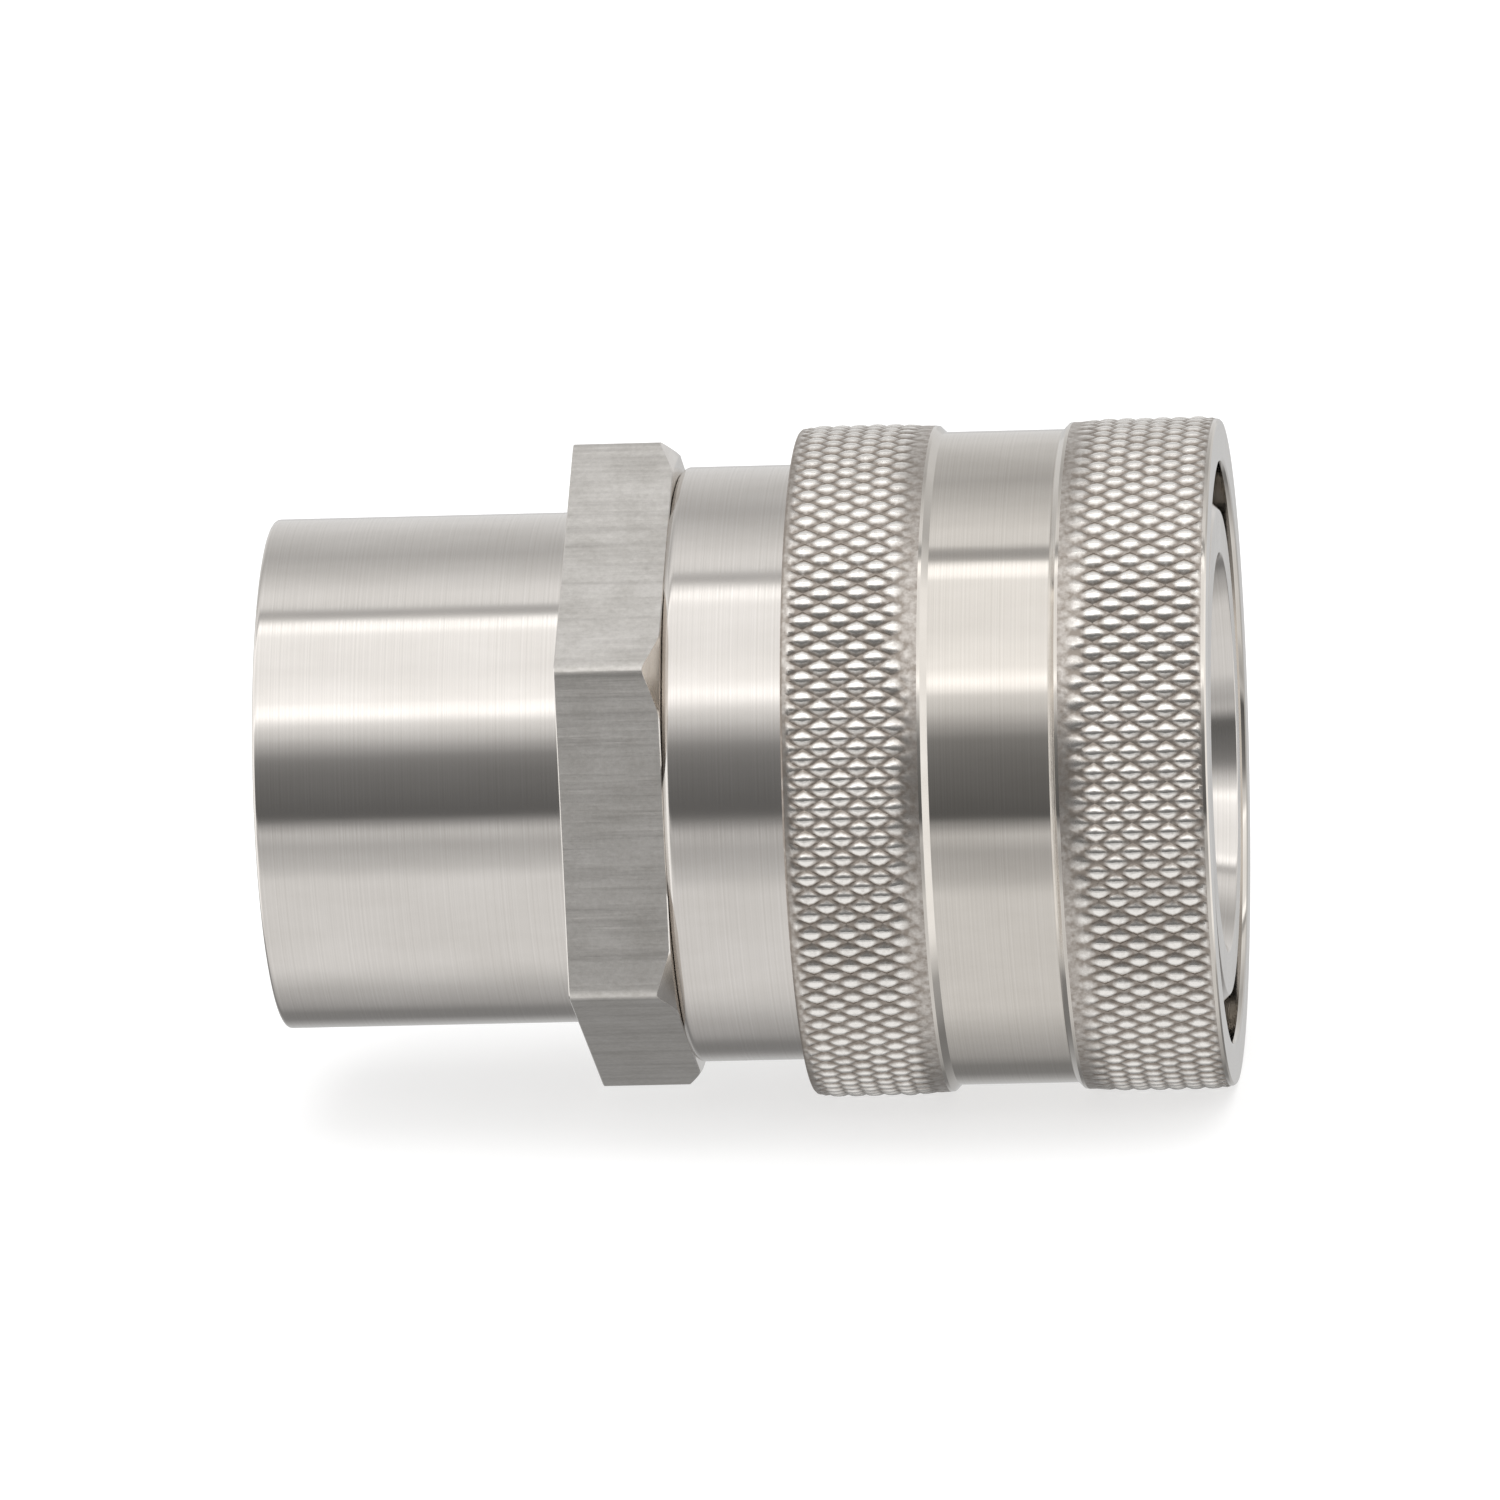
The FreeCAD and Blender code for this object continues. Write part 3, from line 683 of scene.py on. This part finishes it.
def makeSleeve(shape, knurl):
    # a radius for each station and angle: band, groove and band outside, then back inside
    columns = knurl["around"] * knurl["stepsPerTooth"]
    angles = wheel(columns)
    radius, groove, edge = shape["radius"], shape["grooveRadius"], shape["edge"]
    drop = radius - groove
    rearLow, rearHigh = shape["start"] + edge, shape["grooveStart"] - drop
    frontLow, frontHigh = shape["grooveEnd"] + drop, shape["end"] - edge
    rearX = bandStations(rearLow, rearHigh, (edge, drop), knurl)
    frontX = bandStations(frontLow, frontHigh, (drop, edge), knurl)
    fades = (knurl["outerFade"], knurl["grooveFade"])
    rearR = bandRadius(rearX, angles, rearLow, rearHigh, fades, radius, knurl)
    frontR = bandRadius(frontX, angles, frontLow, frontHigh, fades[::-1], radius, knurl)

    # the groove's end rows stand just inside its two corners
    grooveX = np.linspace(shape["grooveStart"], shape["grooveEnd"], 5)
    grooveX += np.array([1, 0, 0, 0, -1]) * 0.04
    grooveR = np.full((len(grooveX), columns), groove)

    # the first and last corners close the ends of the profile under the chamfers
    rim = radius - edge - 0.1
    insideX, insideR = roundedPath([
        (shape["end"], rim, 0), (shape["end"], shape["counterbore"], 0.22),
        (shape["stopStep"], shape["counterbore"], 0), (shape["stopStep"], shape["release"], 0),
        (shape["landEnd"] + shape["release"] - shape["land"], shape["release"], 0.2),
        (shape["landEnd"], shape["land"], 0.2), (shape["landStart"], shape["land"], 0.15),
        (shape["landStart"], shape["bore"], 0), (shape["start"], shape["bore"], 0.18),
        (shape["start"], rim, 0)], closed=False, steps=2)

    sections = [(rowsOf(rearX, columns), rearR, 1), (rowsOf(grooveX, columns), grooveR, 0),
                (rowsOf(frontX, columns), frontR, 1),
                (rowsOf(insideX, columns), rowsOf(insideR, columns), 0)]
    x, r, rowFinish = stackSections(sections)
    rows, along = len(x), x[:, 0]
    # the knurl's finish stops at the chamfers beside the groove and at the front edge
    gripped = (along < rearHigh) | ((along >= frontLow) & (along < frontHigh))
    rowFinish = np.where(gripped, rowFinish, 0)

    # Each cell is two triangles. The shared side follows the groove line that crosses the cell.
    a, b, c, d = gridFaces(rows, columns, True, True).T
    step = knurl["period"] / knurl["stepsPerTooth"]
    station = np.repeat(np.round(along / step).astype(int), columns)
    j = np.tile(np.arange(columns), rows)
    otherWay = ((j + 1 + station) % knurl["stepsPerTooth"] == 0)[:, None]
    firstHalf = np.where(otherWay, np.stack([a, b, d], -1), np.stack([a, b, c], -1))
    secondHalf = np.where(otherWay, np.stack([b, c, d], -1), np.stack([a, c, d], -1))
    triangles = np.stack([firstHalf, secondHalf], axis=1).reshape(-1, 3)
    mesh = makeMesh("gripSleeve", turnedPoints(x, r, angles), [triangles],
                    np.repeat(rowFinish, columns * 2), 24)
    placePiece("gripSleeve", mesh, [sleeveFinish, gripFinish], "sleeve",
               ["sleeve"])


makeSleeve(sleeveShape, knurlShape)
print("sleeve made")


# ---- springs: a round wire on a helix with closed, ground ends

sleeveSpringShape = {"span": (29.5, 40.0), "turns": 4.0, "closedTurns": 0.6, "wire": 0.7,
                     "coil": 14.3, "stroke": 4.8}
valveSpringShape = {"span": (19.8, 27.5), "turns": 4.25, "closedTurns": 0.7, "wire": 0.4,
                    "coil": 3.6, "stroke": 4.0}


def makeSpring(name, node, body, shape):
    # The wire's centre goes round the axis and moves along it slowly in the end turns and evenly
    # between them; the wire's circle is flattened where it would pass the ground end faces.
    # Wire is the wire's radius; seat and endLift are shares of it.
    start, end = shape["span"]
    turns, wire, coil = shape["turns"], shape["wire"], shape["coil"]
    seat, endLift, easing, stepsPerTurn, columns = 0.62, 0.35, 0.35, 72, 20
    t = np.linspace(0, 1, int(turns * stepsPerTurn) + 1)
    closedPart = shape["closedTurns"] / turns
    rise = np.clip((t - closedPart) / (1 - 2 * closedPart), 0, 1)
    rise = rise * rise * (3 - 2 * rise) * easing + rise * (1 - easing)
    endTurns = np.clip(t / closedPart, 0, 1) + np.clip((t - 1) / closedPart + 1, 0, 1)
    along = start + (seat + endLift * endTurns) * wire + (
        end - start - 2 * (seat + endLift) * wire) * rise
    angle = fullTurn * turns * t
    section = wheel(columns)
    radial = coil + wire * np.cos(section)
    x = np.clip(along[:, None] + wire * np.sin(section), start, end)
    points = np.stack([x, radial * np.cos(angle)[:, None], radial * np.sin(angle)[:, None]], -1)
    quads = gridFaces(len(t), columns, False, True)[:, ::-1]
    startCap = np.arange(columns)[None]
    endCap = startCap[:, ::-1] + (len(t) - 1) * columns
    mesh = makeMesh(name, points, [quads, startCap, endCap], None, 40)
    piece = placePiece(name, mesh, [wireFinish], body, [node])
    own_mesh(piece)


makeSpring("sleeveSpring", "sleeve_spring", "spring_carrier", sleeveSpringShape)
makeSpring("valveSpring", "valve_spring", "body", valveSpringShape)
print("springs made")


# ---- retaining ring: a flat open ring with rounded edges

ringShape = {"start": 46.47, "end": 47.45, "inner": 12.25, "outer": 14.75, "degrees": 335,
             "columns": 180}


def makeRetainingRing(shape):
    # the section is carried part of the way round, and each end is closed with its own outline
    start, end = shape["start"], shape["end"]
    x, r = roundedPath([(start, shape["inner"], 0.1), (start, shape["outer"], 0.14),
                        (end, shape["outer"], 0.14), (end, shape["inner"], 0.1)])
    angles = np.radians(np.linspace(0, shape["degrees"], shape["columns"]))
    points = turnedPoints(x, r, angles)
    rows, columns = len(x), len(angles)
    quads = gridFaces(rows, columns, True, False)
    startCap = (np.arange(rows) * columns)[None]
    endCap = startCap[:, ::-1] + columns - 1
    mesh = makeMesh("retainingRing", points, [quads, startCap, endCap])
    placePiece("retainingRing", mesh, [ringFinish], "body", ["retaining_ring"])


makeRetainingRing(ringShape)


# ---- seals: round cords bent into rings, and the plain backup ring

sealShapes = {
    "plugSeal": {"node": "plug_seal", "body": "body", "x": 34.15, "r": 10.6, "cord": 0.9},
    "jointSeal": {"node": "joint_seal", "body": "body", "x": 25.9, "r": 11.73, "cord": 0.7},
    "valveSeal": {"node": "valve_seal", "body": "valve", "x": 28.86, "r": 6.66, "cord": 0.6},
}


def makeSeal(name, shape):
    # the cord's circle, run clockwise in (x, r), is turned once round the axis
    rows, columns = 28, 160
    x = shape["x"] + shape["cord"] * np.cos(-wheel(rows))
    r = shape["r"] + shape["cord"] * np.sin(-wheel(rows))
    points = turnedPoints(x, r, wheel(columns))
    mesh = makeMesh(name, points, [gridFaces(rows, columns, True, True)])
    placePiece(name, mesh, [sealFinish], shape["body"], [shape["node"]])


for sealName, sealShape in sealShapes.items():
    makeSeal(sealName, sealShape)

backupShape = {"start": 35.25, "end": 36.35, "inner": 10.05, "outer": 11.55, "rounding": 0.08}


def makeBackupRing(shape):
    corners = [("start", "inner"), ("start", "outer"), ("end", "outer"), ("end", "inner")]
    mesh = turnedMesh("backupRing", [(shape[x], shape[r], shape["rounding"]) for x, r in corners])
    placePiece("backupRing", mesh, [backupFinish], "body", ["backup_ring"])


makeBackupRing(backupShape)
print("rings and seals made")


# ---- valve: poppet on its stem, and the drilled guide plate

poppetShape = {"stemStart": 17.4, "stem": 2.0, "pocket": 4.3, "pocketEnd": 27.5, "start": 25.4,
               "radius": 7.6, "face": 30.2, "coneSum": 36.046, "nose": 3.0, "noseEnd": 34.9,
               "sealX": 28.86, "sealR": 6.66, "sealGroove": 0.63, "columns": 128}


def makePoppet(shape):
    # the cone's x and r always add up to coneSum; the seal's groove is an arc of a circle cut
    # into it, from one crossing of the cone line to the other
    coneStart, coneSum, face = shape["coneSum"] - shape["radius"], shape["coneSum"], shape["face"]
    depth = (coneSum - shape["sealX"] - shape["sealR"]) / math.sqrt(2)
    opening = math.acos(depth / shape["sealGroove"])
    sweep = np.linspace(math.pi / 4 + opening, math.pi / 4 - opening + fullTurn, 16)
    grooveX = shape["sealX"] + shape["sealGroove"] * np.cos(sweep)
    grooveR = shape["sealR"] + shape["sealGroove"] * np.sin(sweep)
    rearX, rearR = roundedPath([
        (shape["stemStart"], 0, 0), (shape["stemStart"], shape["stem"], 0.3),
        (shape["pocketEnd"], shape["stem"], 0.2), (shape["pocketEnd"], shape["pocket"], 0.2),
        (shape["start"], shape["pocket"], 0.15), (shape["start"], shape["radius"], 0.25),
        (coneStart, shape["radius"], 0.15), (grooveX[0], grooveR[0], 0)], closed=False)
    frontX, frontR = roundedPath([
        (grooveX[-1], grooveR[-1], 0), (face, coneSum - face, 0.15), (face, shape["nose"], 0.3),
        (shape["noseEnd"], shape["nose"], 0.6), (shape["noseEnd"], 0, 0)], closed=False)
    # the first and last points lie on the axis and become the poles
    x = np.concatenate([rearX[:-1], grooveX, frontX[1:]])
    r = np.concatenate([rearR[:-1], grooveR, frontR[1:]])
    ring = turnedPoints(x[1:-1], r[1:-1], wheel(shape["columns"])).reshape(-1, 3)
    points = np.vstack([ring, [[x[0], 0, 0], [x[-1], 0, 0]]])
    mesh = makeMesh("valvePoppet", points, poleFaces(len(x) - 2, shape["columns"]))
    placePiece("valvePoppet", mesh, [valveFinish], "valve", ["valve_poppet"])


makePoppet(poppetShape)

guideShape = {"start": 18.0, "plateEnd": 19.8, "hubEnd": 21.4, "radius": 9.5, "hub": 2.9,
              "bore": 2.06, "portRadius": 1.5, "portBevel": 0.15, "portCircle": 6.2, "ports": 8}


def makeGuide(shape):
    # a plate with a hub, turned, and round ports drilled on a circle
    mesh = turnedMesh("valveGuide", [
        (shape["start"], shape["bore"], 0.1), (shape["start"], shape["radius"], 0.15),
        (shape["plateEnd"], shape["radius"], 0.15), (shape["plateEnd"], shape["hub"], 0.25),
        (shape["hubEnd"], shape["hub"], 0.2), (shape["hubEnd"], shape["bore"], 0.1)])
    circle, thick = shape["portCircle"], shape["plateEnd"] - shape["start"]
    places = [((shape["start"], circle * math.cos(a), circle * math.sin(a)), (0, 1, 0), (0, 0, 1),
               (1, 0, 0)) for a in wheel(shape["ports"])]
    # each port is bevelled at both faces, and its cutter reaches past them
    port, wide, past = shape["portRadius"], shape["portRadius"] + shape["portBevel"], 0.02
    deep = shape["portBevel"] - past
    profile = [(-0.5, wide), (-past, wide), (deep, port), (thick - deep, port),
               (thick + past, wide), (thick + 0.5, wide)]
    points, faceSets = roundCutters(profile, places)
    placePiece("valveGuide", drill(mesh, points, faceSets), [valveFinish], "body",
               ["valve_guide"])


makeGuide(guideShape)
print("valve made")


# ---- locking balls

ballShape = {"radius": 2.0, "row": 42.3, "rest": 10.95, "count": 12, "rings": 22, "columns": 44}


def makeBall(number, shape):
    # rings of latitude about the ball's own radial axis, closed by a pole at each end
    a = fullTurn * number / shape["count"]
    out = np.array([0, math.cos(a), math.sin(a)])
    side = np.array([0, -math.sin(a), math.cos(a)])
    rows, columns, radius = shape["rings"], shape["columns"], shape["radius"]
    latitude = np.linspace(-math.pi / 2, math.pi / 2, rows + 2)[1:-1]
    longitude = wheel(columns)
    flat = (np.cos(latitude) * radius)[:, None]
    local = (flat * np.cos(longitude))[..., None] * side + (
        flat * np.sin(longitude))[..., None] * np.array([1, 0, 0]) + (
        rowsOf(np.sin(latitude) * radius, columns))[..., None] * out
    points = np.vstack([local.reshape(-1, 3), np.stack([-out, out]) * radius])
    points = points + np.array([shape["row"], 0, 0]) + out * shape["rest"]
    name, node = "lockingBall%d" % (number + 1), "ball_%d" % (number + 1)
    mesh = makeMesh(name, points, poleFaces(rows, columns), None, 60)
    placePiece(name, mesh, [ballFinish], node, [node])


for ballNumber in range(ballShape["count"]):
    makeBall(ballNumber, ballShape)
print("locking balls made")


# ---- floor, light and camera

stageLook = {"floorHalf": 3.0, "floorTone": 0.45, "floorGlow": 0.62, "backdrop": 1.0,
             "brightest": 2.0, "sideTone": 1.25, "sideFrom": 0.74, "sideFull": 0.86,
             "topPower": 9.0, "topSize": 1.6, "topPlace": (0.025, 0.1, 1.4)}
# how bright the studio is by the angle about the X axis: 0 is level towards the front, 90 is
# straight up, and below zero lies the table
studioBands = [(-180, 0.70), (-150, 0.50), (-136, 0.25), (-126, 0.26), (-118, 0.42),
               (-103, 0.58), (-92, 0.76), (-84, 0.86), (-36, 0.86), (-30, 0.66), (-20, 0.54),
               (-14, 0.70), (-10.5, 0.44), (-7, 0.13), (13, 0.21), (20, 0.27), (25, 0.50),
               (30, 0.80), (35, 0.95), (40, 1.72), (45, 1.30), (60, 1.12), (79, 1.18), (81, 1.62),
               (85, 1.60), (87.5, 0.50), (91, 0.44), (94, 0.95), (101, 0.96), (116, 0.70),
               (128, 0.55), (163, 0.80)]


def makeFloor(look):
    # a pale plane under the object that mirrors in nothing
    size, z = look["floorHalf"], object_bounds()[0][2]
    mesh = bpy.data.meshes.new("floor")
    mesh.from_pydata([(-size, -size, z), (size, -size, z), (size, size, z), (-size, size, z)], [],
                     [(0, 1, 2, 3)])
    floor = bpy.data.objects.new("floor", mesh)
    bpy.context.scene.collection.objects.link(floor)
    material, nodes, links = newMaterial("paleFloor")
    shader = addNode(nodes, "ShaderNodeBsdfPrincipled")
    shader.inputs["Base Color"].default_value = (look["floorTone"],) * 3 + (1,)
    shader.inputs["Roughness"].default_value = 0.9
    shader.inputs["Emission Color"].default_value = (1, 1, 1, 1)
    shader.inputs["Emission Strength"].default_value = look["floorGlow"]
    links.new(shader.outputs[0], addNode(nodes, "ShaderNodeOutputMaterial").inputs["Surface"])
    mesh.materials.append(material)
    floor.visible_glossy = False
    floor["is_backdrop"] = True


def makeStudio(look, bands):
    # The world's brightness follows the angle about the X axis, with a soft light at either end
    # of the axis. The camera itself sees a plain pale backdrop.
    world = bpy.data.worlds.new("studio")
    bpy.context.scene.world = world
    world.use_nodes = True
    nodes, links = world.node_tree.nodes, world.node_tree.links
    nodes.clear()
    direction = addNode(nodes, "ShaderNodeTexCoord").outputs["Generated"]
    parts = addNode(nodes, "ShaderNodeSeparateXYZ")
    links.new(direction, parts.inputs[0])
    ahead = mathNode(nodes, links, "MULTIPLY", parts.outputs["Y"], -1.0)
    angle = mathNode(nodes, links, "ARCTAN2", parts.outputs["Z"], ahead)
    place = spread(nodes, links, angle, -math.pi, math.pi, 0, 1)
    ramp = addNode(nodes, "ShaderNodeValToRGB")
    links.new(place, ramp.inputs[0])
    # a ramp's colours stop at 1, so they hold shares of the brightest tone
    elements, top = ramp.color_ramp.elements, look["brightest"]
    elements.remove(elements[1])
    elements[0].position = 0
    elements[0].color = (bands[0][1] / top,) * 3 + (1,)
    for degrees, tone in bands[1:]:
        elements.new((degrees + 180) / 360).color = (tone / top,) * 3 + (1,)
    sideways = mathNode(nodes, links, "ABSOLUTE", parts.outputs["X"])
    towardsSide = spread(nodes, links, sideways, look["sideFrom"], look["sideFull"], 0, 1)
    tone = mixColours(nodes, links, towardsSide, ramp.outputs[0], (look["sideTone"] / top,) * 3)
    background = addNode(nodes, "ShaderNodeBackground")
    links.new(tone, background.inputs["Color"])
    background.inputs["Strength"].default_value = top
    plain = addNode(nodes, "ShaderNodeBackground")
    plain.inputs["Color"].default_value = (look["backdrop"],) * 3 + (1,)
    pick = addNode(nodes, "ShaderNodeMixShader")
    links.new(addNode(nodes, "ShaderNodeLightPath").outputs["Is Camera Ray"], pick.inputs[0])
    links.new(background.outputs[0], pick.inputs[1])
    links.new(plain.outputs[0], pick.inputs[2])
    links.new(pick.outputs[0], addNode(nodes, "ShaderNodeOutputWorld").inputs["Surface"])


def makeTopLight(look):
    # a broad soft light overhead that only brightens the floor
    lamp = bpy.data.lights.new("topLight", "AREA")
    lamp.size = look["topSize"]
    lamp.energy = look["topPower"]
    light = bpy.data.objects.new("topLight", lamp)
    light.location = look["topPlace"]
    light.visible_glossy = False
    bpy.context.scene.collection.objects.link(light)


cameraShape = {"azimuth": 5.5, "elevation": 13.3, "roll": 2.6, "distance": 0.84,
               "frameWidth": 0.0782, "sensor": 36.0, "target": (0.02454, 0.0, 0.0007)}


def makeCamera(shape):
    # The camera stands back from the target by the distance, turned by the azimuth from -Y
    # towards +X and raised by the elevation; the lens makes the frame as wide as frameWidth.
    azimuth, elevation = math.radians(shape["azimuth"]), math.radians(shape["elevation"])
    back = np.array([math.sin(azimuth) * math.cos(elevation),
                     -math.cos(azimuth) * math.cos(elevation), math.sin(elevation)])
    right = np.array([math.cos(azimuth), math.sin(azimuth), 0])
    up = np.cross(back, right)
    roll = math.radians(shape["roll"])
    turnedRight = math.cos(roll) * right - math.sin(roll) * up
    turnedUp = math.sin(roll) * right + math.cos(roll) * up
    data = bpy.data.cameras.new("camera")
    data.sensor_width = shape["sensor"]
    data.lens = shape["sensor"] * shape["distance"] / shape["frameWidth"]
    data.clip_start, data.clip_end = 0.01, 20
    camera = bpy.data.objects.new("camera", data)
    matrix = np.eye(4)
    matrix[:3, 0], matrix[:3, 1], matrix[:3, 2] = turnedRight, turnedUp, back
    matrix[:3, 3] = np.array(shape["target"]) + back * shape["distance"]
    camera.matrix_world = Matrix(matrix.tolist())
    bpy.context.scene.collection.objects.link(camera)
    bpy.context.scene.camera = camera


makeFloor(stageLook)
makeStudio(stageLook, studioBands)
makeTopLight(stageLook)
makeCamera(cameraShape)
bpy.context.scene.view_settings.view_transform = "Standard"
print("stage, light and camera made")
